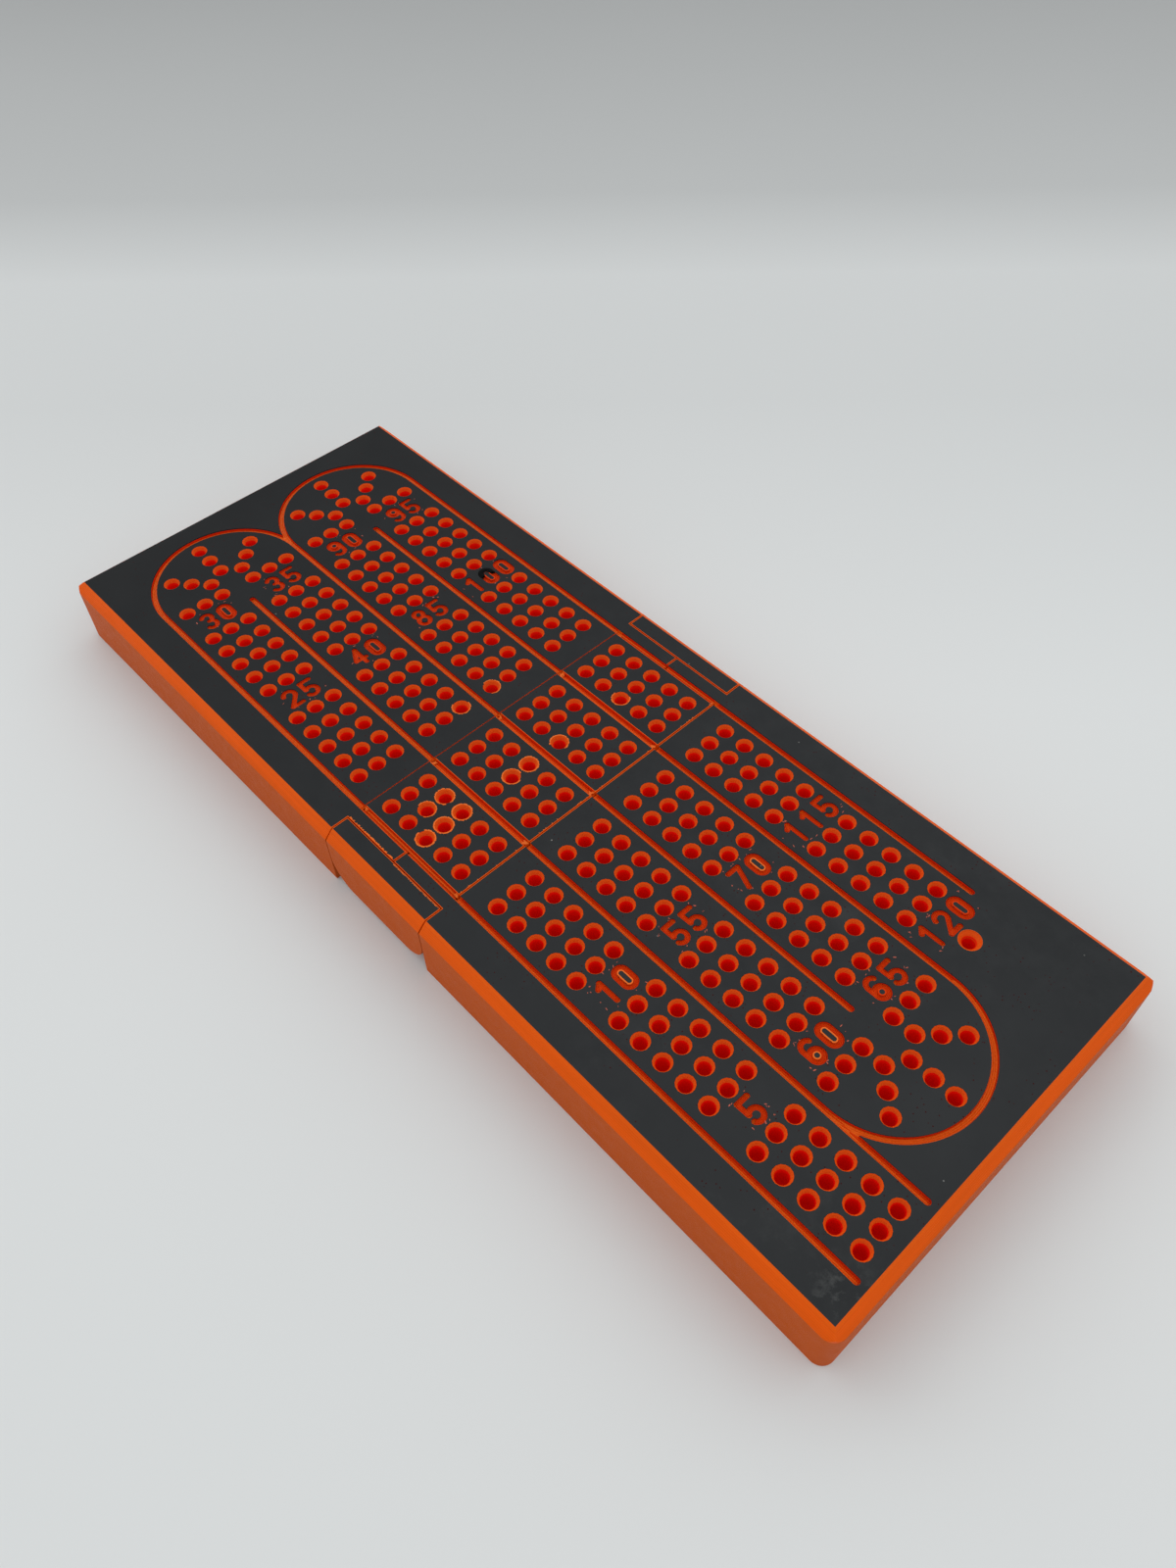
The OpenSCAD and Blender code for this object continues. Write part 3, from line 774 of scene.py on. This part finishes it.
class CRIBBAGE_OT_layered_skin(bpy.types.Operator):
    """Lays the printed layers round the board's edge, split at the seams as the board is"""

    bl_idname = "cribbage.layered_skin"
    bl_label = "Add Layered Skin"

    def execute(self, context):
        ring = self.ring(context.scene.board_print)
        middle = copy_of(ring, "links_skin")
        for side in (-1, 1):
            cut_away(middle, (side*LINK_X, 0, 0), (side, 0, 0))
        for name, side in (("left_link", -1), ("right_link", 1)):
            self.link(middle, name + "_layers", side)
        clear_selection()
        bpy.data.objects.remove(middle)
        for body, side in HALVES.items():
            half = copy_of(ring, body.replace("half", "layers"))
            cut_away(half, (side*SEAM_X, 0, 0), (-side, 0, 0))
            self.close(half, body)
        bpy.data.objects.remove(ring)
        return {"FINISHED"}

    def ring(self, made):
        """A closed ring round the whole board, with one bulge for every layer."""
        layer, bead = made.layer_height, made.bead
        wall_layers = round((BOARD_TOP - CHAMFER_Z - SKIN_BASE)/layer)
        bpy.ops.mesh.primitive_plane_add(size=2*MM, location=(0, 0, SKIN_BASE*MM))
        ring = start_piece("board_skin")
        scale_about(BOARD_X + SKIN_ROOM, BOARD_Y + SKIN_ROOM, 1)
        bpy.ops.mesh.bevel(affect="VERTICES", offset=SKIN_CORNER*MM, segments=8)
        bpy.ops.mesh.delete(type="ONLY_FACE")
        select_whole()
        out_x, out_y = (BOARD_X + bead)/BOARD_X, (BOARD_Y + bead)/BOARD_Y
        raise_edges(z=layer*0.22)
        scale_about(out_x, out_y, 1)
        raise_edges(z=layer*0.56)
        raise_edges(z=layer*0.22)
        scale_about(1/out_x, 1/out_y, 1)
        go_to("OBJECT")
        apply_modifier(ring, "ARRAY", count=wall_layers, use_relative_offset=False,
                       use_constant_offset=True, constant_offset_displace=(0, 0, layer*MM),
                       use_merge_vertices=True, merge_threshold=0.002*MM)

        # The chamfer goes in by one small stair a layer
        go_to("EDIT")
        top = SKIN_BASE + wall_layers*layer
        select_verts(ring, lambda place: place.z > top - layer/10)
        stair = CHAMFER_X/(CHAMFER_Z/layer)
        for step in range(STAIRS):
            raise_edges(z=layer*0.55)
            raise_edges(z=layer*0.45)
            reach = (step + 1)*stair
            self.pull_in(ring, BOARD_X + SKIN_ROOM - reach, BOARD_Y + SKIN_ROOM - reach)
        raise_edges()
        scale_about((BOARD_X - SKIN_INSIDE)/(BOARD_X - reach), (BOARD_Y - SKIN_INSIDE)/(BOARD_Y - reach), 1)
        raise_edges(z=-(STAIRS*layer + wall_layers*layer - 0.02))
        bridge_rims()
        return ring

    def pull_in(self, ring, reach_x, reach_y):
        """Moves the selected loop's far points in to the lines of a smaller rectangle."""
        mesh = bmesh.from_edit_mesh(ring.data)
        level = max(vert.co.z for vert in mesh.verts)/MM - 0.001
        for axis, reach in ((0, reach_x), (1, reach_y)):
            for side in (-1, 1):
                select_verts(ring, lambda p: p.z > level and side*p[axis] > reach)
                centre = [0, 0, 0]
                centre[axis] = side*reach
                scale_about(*(0 if i == axis else 1 for i in range(3)), centre=centre)
        select_verts(ring, lambda p: p.z > level)

    def link(self, middle, name, side):
        """One link's skin, with the round lower corners of the link under it."""
        link = copy_of(middle, name)
        cut_away(link, (0, 0, 0), (0, -side, 0))
        pivot_z = BOARD_TOP/2
        cut_away(link, (0, 0, pivot_z - LINK_RADIUS), (0, 0, -1))
        for end in (-1, 1):
            for step in range(1, 8):
                turn = step*math.pi/16
                out = (end*math.cos(turn), 0, -math.sin(turn))
                edge = (end*LINK_PIVOT + LINK_RADIUS*out[0], 0, pivot_z + LINK_RADIUS*out[2])
                cut_away(link, edge, out)
        self.close(link, "spine")

    def close(self, piece, body):
        end_piece(piece, body, "orange_print")
        smooth(20)


class CRIBBAGE_OT_hole_walls(bpy.types.Operator):
    """Lines every peg hole with the orange ledges of its printed layers"""

    bl_idname = "cribbage.hole_walls"
    bl_label = "Add Hole Walls"

    def execute(self, context):
        radius = context.scene.board_track.hole_radius

        # How far each ledge stands in from the hole's edge, and its height over the face
        ledges = ((-0.11, -0.25), (0, 0.012), (0.12, -0.22), (0.25, -0.35), (0.25, -0.52), (0.39, -0.66),
                  (0.39, -0.83), (0.53, -0.97), (0.535, -1.14), (0.66, -1.28), (0.68, -1.75))
        sleeve = turned_ring("hole_wall", [(radius - inwards, height) for inwards, height in ledges])
        for body in ("far_half", "near_half", "spine"):
            copies = []
            for x, y in holes_of(body):
                one = copy_of(sleeve, "hole_wall_copy")
                one.location = (x*MM, y*MM, 0)
                copies.append(one)
            end_all(copies, body + "_hole_walls", body, "hole_shade_print")
        bpy.data.objects.remove(sleeve)
        self.last_ring()
        return {"FINISHED"}

    def last_ring(self):
        """The wide pale funnel of the last hole."""
        funnel = ((2.62, -0.25), (2.50, 0.015), (2.42, 0.03), (2.36, -0.12), (2.18, -0.34), (1.90, -0.62),
                  (1.62, -0.95), (1.43, -1.25), (1.38, -1.75))
        ring = turned_ring("last_hole_ring", funnel, 40)
        ring.location = (last_hole()[0]*MM, last_hole()[1]*MM, 0)
        end_piece(ring, "near_half", "hole_shade_print")


class CRIBBAGE_OT_groove_strands(bpy.types.Operator):
    """Lays the printed strands along the floor of every groove"""

    bl_idname = "cribbage.groove_strands"
    bl_label = "Add Groove Strands"

    def execute(self, context):
        pitch = context.scene.board_track.lane_pitch
        edge = 2*pitch
        steps = (-STRAND_STEP, 0, STRAND_STEP)
        ends = (
            (-edge, LINE_END, START_LINE_END), (-pitch, FAR_LINE_END, START_LINE_END),
            (0, LINE_END, FAR_LINE_END), (pitch, FAR_LINE_END, LINE_END), (edge, LINE_END, FAR_LINE_END),
        )
        for body, side in HALVES.items():
            strands, shaded = [], []
            for line_y, far_end, near_end in ends:
                start = side*(SEAM_X + STRAND_ROOM)
                end = side*((near_end if side > 0 else far_end) - STRAND_ROOM)
                # Painted shade: on the near half, the strand by each groove's +Y wall takes the darker
                # shaded print
                for step, kept in zip(steps, (strands, strands, shaded if side > 0 else strands)):
                    kept.append(straight_strand(start, line_y + step, end - start, 0))
            for middle in ((0.0,) if side > 0 else (-pitch, pitch)):
                for step in steps:
                    strands.append(bent_strand((side*ARC_X, middle), pitch + step, -90, 180*side, 48))
            for line_side in (-1, 1):
                start, reach = side*ARM_START, side*ARM_LENGTH
                strands.append(straight_strand(start, line_side*(edge + 0.42), reach, 0))
                # Painted shade: a thin strand along each arm's outer wall takes the darker shaded print
                shaded.append(straight_strand(start, line_side*(edge + 0.08), reach, 0, 0.94, 0.16))
            self.close(strands, shaded, body)
        strands, shaded = [], []
        start, reach = 0.3 - LINK_X, 2*LINK_X - 0.6
        for line_y in (-pitch, 0, pitch):
            # Painted shade: the strand by each spine groove's +Y wall takes the darker shaded print
            for step, kept in zip(steps, (strands, strands, shaded)):
                kept.append(straight_strand(start, line_y + step, reach, 0))
        for line_side in (-1, 1):
            strands.append(straight_strand(start, line_side*(edge - 0.44), reach, 0))
        self.close(strands, shaded, "spine")
        return {"FINISHED"}

    def close(self, strands, shaded, body):
        end_all(strands, body + "_groove_strands", body, "strand_print")
        smooth(50)
        end_all(shaded, body + "_shaded_strands", body, "figure_shade_print")
        smooth(50)


class CRIBBAGE_OT_figure_strands(bpy.types.Operator):
    """Lays the printed strands in the figures, and the bright lips round their dark islands"""

    bl_idname = "cribbage.figure_strands"
    bl_label = "Add Figure Strands"

    def execute(self, context):
        self.size = context.scene.board_numbers
        self.pitch = context.scene.board_track.row_pitch
        glyphs = {}
        for body, side in HALVES.items():
            strands, lips, plain = [], [], []
            for lane, slot, figures in NUMBERS:
                if slot*side < 0:
                    continue
                for place, figure in enumerate(figures):
                    if figure not in glyphs:
                        glyphs[figure] = (self.strands(figure), self.lip(figure))
                    across = lane_y(lane) + (place - (len(figures) - 1)/2)*self.size.pitch
                    rims = lips if figures in BRIGHT_NUMBERS else plain
                    for model, kept in zip(glyphs[figure], (strands, rims)):
                        if model:
                            kept.append(self.put(model, slot*self.pitch, across))
            end_all(strands, body + "_figure_strands", body, "figure_shade_print")
            smooth(50)
            end_all(plain, body + "_figure_rims", body, "figure_shade_print")
            if lips:
                end_all(lips, body + "_figure_lips", body, "torn_lip")
        for models in glyphs.values():
            for model in models:
                if model:
                    bpy.data.objects.remove(model)
        self.black_fill()
        return {"FINISHED"}

    def put(self, model, x, y):
        """A copy of an upright figure, laid at its place on the board."""
        made = copy_of(model, "figure_copy")
        made.location = (x*MM, y*MM, 0)
        made.rotation_euler = (0, 0, math.pi/2)
        return made

    def strokes(self, figure):
        """Centre lines of a figure: lines by two points, and arcs by middle, radius, start and sweep."""
        up, out = self.size.height/2, self.size.width/2
        turn = up - out
        return {
            "0": (((-out, -turn), (-out, turn)), ((out, -turn), (out, turn)),
                  ((0, turn), out, 0, 180), ((0, -turn), out, 180, 180)),
            "1": (((0.2*out, -up), (0.2*out, up)), ((-0.64*out, 0.6*up), (0.2*out, up))),
            "2": (((0, turn), out, -38, 203), ((-out, -up), (0.79*out, turn - 0.62*out)),
                  ((-out, -up), (out, -up))),
            "3": (((0, up/2), up/2, -90, 240), ((0, -up/2), up/2, -150, 240)),
            "4": (((0.4*out, -up), (0.4*out, up)), ((-out, -0.4*up), (0.4*out, up)),
                  ((-out, -0.4*up), (out, -0.4*up))),
            "5": (((0, -turn), out, -150, 290), ((-0.77*out, 0.64*out - turn), (-0.84*out, up)),
                  ((-0.84*out, up), (out, up))),
            "6": (((0, -turn), out, 0, 359.9), ((-out, -turn), (-out, turn)), ((0, turn), out, 35, 145)),
            "7": (((-out, up), (out, up)), ((-0.4*out, -up), (out, up))),
            "8": (((0, 0.54*up), 0.46*up, 0, 359.9), ((0, -0.46*up), 0.54*up, 0, 359.9)),
            "9": (((0, turn), out, 180, 359.9), ((out, turn), (out, -turn)), ((0, -turn), out, 215, 145)),
        }[figure]

    def strands(self, figure):
        """Three strands side by side along every stroke of a figure."""
        depth = self.size.depth - 0.03
        made = []
        for stroke in self.strokes(figure):
            for step in (-0.36, 0, 0.36):
                if len(stroke) == 2:
                    (x0, y0), (x1, y1) = stroke
                    length = math.hypot(x1 - x0, y1 - y0)
                    off_x, off_y = -step*(y1 - y0)/length, step*(x1 - x0)/length
                    made.append(straight_strand(x0 + off_x, y0 + off_y, x1 - x0, y1 - y0, depth, 0.19))
                else:
                    middle, radius, start, sweep = stroke
                    made.append(bent_strand(middle, radius + step, start, sweep, 16, depth, 0.19))
        return join_all(made, "figure_" + figure)

    def lip(self, figure):
        """The inner rim that leaves only a narrow dark island in a closed figure."""
        radius = (self.size.width - self.size.stroke)/2
        turn = (self.size.height - self.size.width)/2
        shapes = {"0": (0.55, 0, turn), "6": (0.58, -turn, 0), "9": (0.58, turn, 0)}
        if figure not in shapes:
            return None
        inner, middle, stretch = shapes[figure]
        steps = ((radius + 0.03, -0.22), (radius + 0.02, 0.01), (inner, 0.02), (inner, -0.22))
        rim = turned_ring("lip_" + figure, steps, 20)
        go_to("EDIT")
        select_whole()
        move_by(y=middle)
        for side in (-1, 1):
            select_verts(rim, lambda p: side*(p.y - middle) > 0.001)
            move_by(y=side*stretch)
        go_to("OBJECT")
        return rim

    def black_fill(self):
        """Dark plastic that ran into the top of one nought."""
        turn = (self.size.height - self.size.width)/2
        fill = bent_strand((0, turn), self.size.width/2 - 0.1, -25, 225, 20, 0.42, 1.05)
        fill.name = "nought_fill"
        fill.location = (FILLED_SLOT*self.pitch*MM, lane_y(FILLED_LANE)*MM, 0)
        fill.rotation_euler = (0, 0, math.pi/2)
        end_piece(fill, "far_half", "black_fill")


class CRIBBAGE_OT_crumbs(bpy.types.Operator):
    """Scatters the crumbs of plastic beside the figures and along the seams"""

    bl_idname = "cribbage.crumbs"
    bl_label = "Add Crumbs"

    def execute(self, context):
        chance = random.Random(11)
        crumb = self.crumb()
        pitch = context.scene.board_track.row_pitch
        for body, side in HALVES.items():
            copies = []
            for lane, slot, figures in NUMBERS:
                if slot*side < 0:
                    continue
                half = len(figures)*2.5
                for _ in range(4 if side > 0 else 2):
                    y = lane_y(lane) + chance.choice((-1, 1))*chance.uniform(half - 0.2, half + 0.7)
                    x = slot*pitch + chance.uniform(-3.2, 3.2)
                    copies.append(self.put(crumb, chance, x, y, 0.0))
                for _ in range(8 if side > 0 else 4):
                    x = slot*pitch + chance.choice((-1, 1))*chance.uniform(3.2, 3.8)
                    y = lane_y(lane) + chance.uniform(-half, half)
                    copies.append(self.put(crumb, chance, x, y, 0.0))
            end_all(copies, body + "_crumbs", body, "crumb")
        self.seam_bits(context, chance, crumb)
        self.torn_edge("torn_arm_edge", "far_half", -15.9, -0.8, ARM_EDGE, 0.26, 3)
        self.torn_edge("rough_link_edge", "spine", 0.6, 15.7, LINK_EDGE, -0.14, 5)
        bpy.data.objects.remove(crumb)
        return {"FINISHED"}

    def torn_edge(self, name, body, start, end, edge, width, seed):
        """A ragged thin strip that reaches from an edge beside the left link."""
        bpy.ops.mesh.primitive_grid_add(x_subdivisions=44, y_subdivisions=1, size=2*MM,
                                        location=(0, 0, (BOARD_TOP + 0.015)*MM))
        strip = start_piece(name)
        scale_about((end - start)/2, abs(width)/2, 1, (0, 0, BOARD_TOP))
        move_by((end + start)/2, edge + width/2)
        select_verts(strip, lambda p: abs(p.y - edge) > abs(width)/2)
        bpy.ops.transform.vertex_random(offset=0.6*abs(width)*MM, uniform=0.0, normal=0.0, seed=seed)
        go_to("OBJECT")
        apply_modifier(strip, "SOLIDIFY", thickness=LIP_THICKNESS*MM)
        end_piece(strip, body, "torn_lip")

    def crumb(self):
        bpy.ops.mesh.primitive_ico_sphere_add(subdivisions=1, radius=0.20*MM, location=(0, 0, BOARD_TOP*MM))
        crumb = start_piece("crumb_model")
        scale_about(1.5, 0.6, 0.35, (0, 0, BOARD_TOP))
        go_to("OBJECT")
        return crumb

    def put(self, model, chance, x, y, z, size=1.0):
        made = copy_of(model, "crumb_copy")
        made.location = (x*MM, y*MM, z*MM)
        made.rotation_euler = (0, 0, chance.uniform(0, math.pi))
        made.scale = (size*chance.uniform(0.5, 1.4), size*chance.uniform(0.5, 1.3), 1)
        return made

    def seam_bits(self, context, chance, crumb):
        """Bits that hang along the near seam, and where the seams cross the grooves."""
        pitch = context.scene.board_track.lane_pitch
        copies = []
        for _ in range(26):
            y = chance.uniform(-38, 38)
            copies.append(self.put(crumb, chance, 15.98, y, -0.01, 0.9))
        for side in (-1, 1):
            for line in (-2, -1, 0, 1, 2):
                for _ in range(3):
                    x = side*(LINK_X - chance.uniform(0.4, 0.8))
                    y = max(-LAST_BIT, min(LAST_BIT, line*pitch + chance.uniform(-0.5, 0.5)))
                    copies.append(self.put(crumb, chance, x, y, -0.55, 2.4))
        end_all(copies, "seam_bits", "spine", "torn_lip")


class CRIBBAGE_OT_ragged_rims(bpy.types.Operator):
    """Adds the torn orange lips that stand round some holes"""

    bl_idname = "cribbage.ragged_rims"
    bl_label = "Add Ragged Rims"

    def execute(self, context):
        for body, places in RAGGED_RIMS.items():
            rims = []
            for number, (lane, slot, track, width, gap_from, gap_to) in enumerate(places):
                x, y = row_holes([slot], lane)[track + 1]
                rims.append(self.rim(x, y, width, gap_from, gap_to, 7*number + slot))
            end_all(rims, body + "_ragged_rims", body, "torn_lip")
        return {"FINISHED"}

    def rim(self, x, y, width, gap_from, gap_to, seed):
        """A thin lip round one hole, uneven on its outer side and torn away over a gap."""
        radius = bpy.context.scene.board_track.hole_radius
        bpy.ops.mesh.primitive_circle_add(vertices=56, radius=(radius - 0.03)*MM,
                                          location=(x*MM, y*MM, (BOARD_TOP + 0.01)*MM))
        rim = start_piece("rim")
        raise_edges(z=0.05)
        scale_about(1.02, 1.02, 1, (x, y, 0))
        raise_edges(z=-0.04)
        scale_about(1 + width/radius, 1 + width/radius, 1, (x, y, 0))
        if gap_to > gap_from:
            select_verts(rim, lambda p: gap_from <= turn_of(p.x - x, p.y - y) <= gap_to)
            bpy.ops.mesh.delete(type="VERT")
        outer = radius + width - 0.01
        select_verts(rim, lambda p: math.hypot(p.x - x, p.y - y) > outer)
        bpy.ops.transform.vertex_random(offset=0.13*MM, uniform=0.0, normal=0.0, seed=seed)
        go_to("OBJECT")
        apply_modifier(rim, "SOLIDIFY", thickness=LIP_THICKNESS*MM, offset=-1)
        go_to("EDIT")
        face_outwards()
        return rim


class CRIBBAGE_OT_stage(bpy.types.Operator):
    """Adds the table, the soft light and the camera"""

    bl_idname = "cribbage.stage"
    bl_label = "Set Stage"

    def execute(self, context):
        settings = context.scene.board_stage
        clear_selection()
        self.table(context)
        self.sky(context.scene, settings)

        bpy.ops.object.light_add(type="AREA", location=(-1.5, -0.35, 1.2))
        lamp = context.object
        lamp.name = "soft_lamp"
        lamp.data.shape = "RECTANGLE"
        lamp.data.size = 1.6
        lamp.data.size_y = 1.2
        lamp.data.energy = settings.lamp_power
        lamp.rotation_mode = "QUATERNION"
        lamp.rotation_quaternion = (-Vector(lamp.location)).to_track_quat("-Z", "Y")

        bpy.ops.object.camera_add(location=settings.camera_place, rotation=settings.camera_turn)
        camera = context.object
        camera.name = "camera"
        camera.data.lens = settings.lens
        camera.data.sensor_width = 36.0
        camera.data.clip_start = 0.01
        camera.data.clip_end = 20.0
        context.scene.camera = camera
        context.scene.view_settings.view_transform = "Standard"
        return {"FINISHED"}

    def table(self, context):
        """One wide, flat, pale sheet."""
        bpy.ops.mesh.primitive_plane_add(size=6.0, location=(0, 0, 0))
        sheet = start_piece("table")
        go_to("OBJECT")
        sheet.data.materials.append(table_top(context.scene.board_colours))

    def sky(self, scene, settings):
        """Even light from all round, weak from straight above, where the viewer stands in its way."""
        sky = bpy.data.worlds.new("sky")
        scene.world = sky
        sky.use_nodes = True
        tree = sky.node_tree
        around = add_node(tree, "TexCoord").outputs["Generated"]
        toward = add_node(tree, "SeparateXYZ", {"Vector": around}).outputs
        low = add_range(tree, toward["Z"], 0.0, 0.45, 0.40, 1.0)
        high = add_range(tree, toward["Z"], 0.75, 0.95, 1.0, 0.45)
        along = add_range(tree, toward["X"], -0.9, 0.9, 1.15, 0.9)
        across = add_range(tree, toward["Y"], -0.9, 0.9, 0.85, 1.15)
        level = times(tree, low, high, along, across, settings.sky_strength)
        back = tree.nodes["Background"]
        back.inputs["Color"].default_value = (0.97, 0.985, 1.0, 1)
        tree.links.new(level, back.inputs["Strength"])


class CRIBBAGE_PT_panel(bpy.types.Panel):
    """Lists the steps and the values they use"""

    bl_label = "Cribbage Board"
    bl_idname = "CRIBBAGE_PT_panel"
    bl_space_type = "VIEW_3D"
    bl_region_type = "UI"
    bl_category = "Cribbage Board"

    def draw(self, context):
        for operator in OPERATORS:
            self.layout.operator(operator.bl_idname)
        for group in SETTINGS:
            box = self.layout.box()
            owner = getattr(context.scene, group)
            for name in owner.__annotations__:
                box.prop(owner, name)


SETTINGS = {
    "board_track": BoardTrack,
    "board_numbers": BoardNumbers,
    "board_print": BoardPrint,
    "board_colours": BoardColours,
    "board_stage": BoardStage,
}
OPERATORS = (
    CRIBBAGE_OT_finishes,
    CRIBBAGE_OT_layered_skin,
    CRIBBAGE_OT_hole_walls,
    CRIBBAGE_OT_groove_strands,
    CRIBBAGE_OT_figure_strands,
    CRIBBAGE_OT_ragged_rims,
    CRIBBAGE_OT_crumbs,
    CRIBBAGE_OT_stage,
)
CLASSES = (*SETTINGS.values(), *OPERATORS, CRIBBAGE_PT_panel)


def register():
    for cls in CLASSES:
        bpy.utils.register_class(cls)
    for name, group in SETTINGS.items():
        setattr(bpy.types.Scene, name, bpy.props.PointerProperty(type=group))


def unregister():
    for name in SETTINGS:
        delattr(bpy.types.Scene, name)
    for cls in reversed(CLASSES):
        bpy.utils.unregister_class(cls)


def main():
    register()
    for operator in OPERATORS:
        group, name = operator.bl_idname.split(".")
        getattr(getattr(bpy.ops, group), name)()
    clear_selection()


if __name__ == "__main__":
    main()
